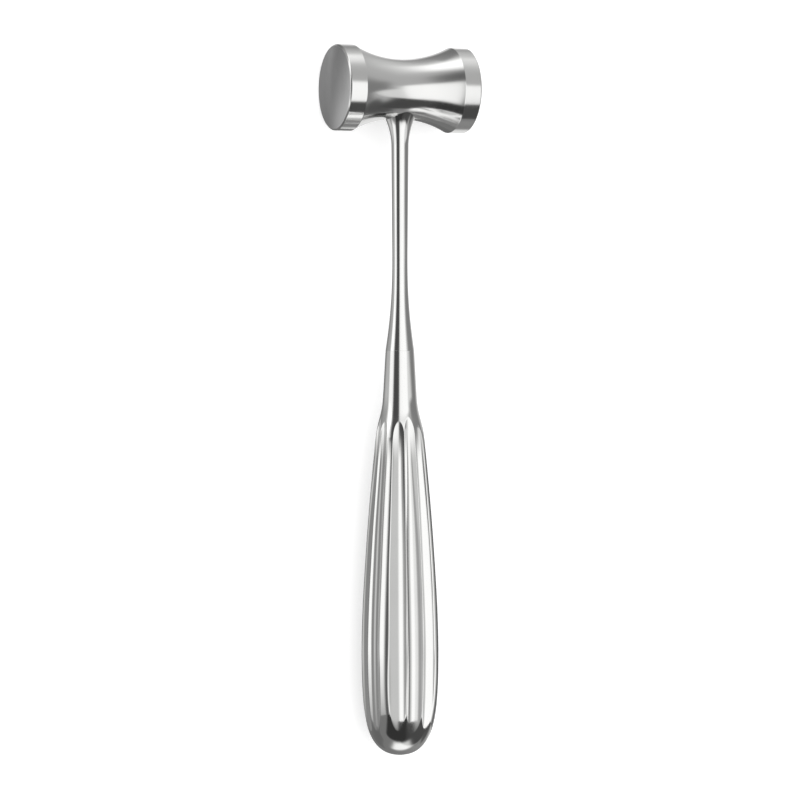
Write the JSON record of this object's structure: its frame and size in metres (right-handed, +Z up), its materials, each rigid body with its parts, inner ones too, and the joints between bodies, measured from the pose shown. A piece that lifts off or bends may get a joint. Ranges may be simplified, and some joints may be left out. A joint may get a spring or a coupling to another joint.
{
  "type": "surgical mallet",
  "caption": "Small steel surgical mallet: a waisted barrel head with flat striking faces on a slim rod shaft, and a hollow fluted pear-shaped handle that narrows to a neck.",
  "frame": {"origin": "on the table, under the middle of the mallet's length and width, as it lies on its side", "axes": "+X along the head's axis, out of its right striking face; +Y along the handle towards the head; +Z up from the table, out of the front of the handle"},
  "size_m": [0.045, 0.225, 0.027],
  "materials": {
    "turned_steel": "polished barrel, finely turned satin striking faces",
    "polished_steel": "polished"
  },
  "bodies": {
    "root": {"head": "turned_steel", "shaft": "polished_steel", "handle_front_shell": "polished_steel", "handle_back_shell": "polished_steel"}
  },
  "joints": []
}
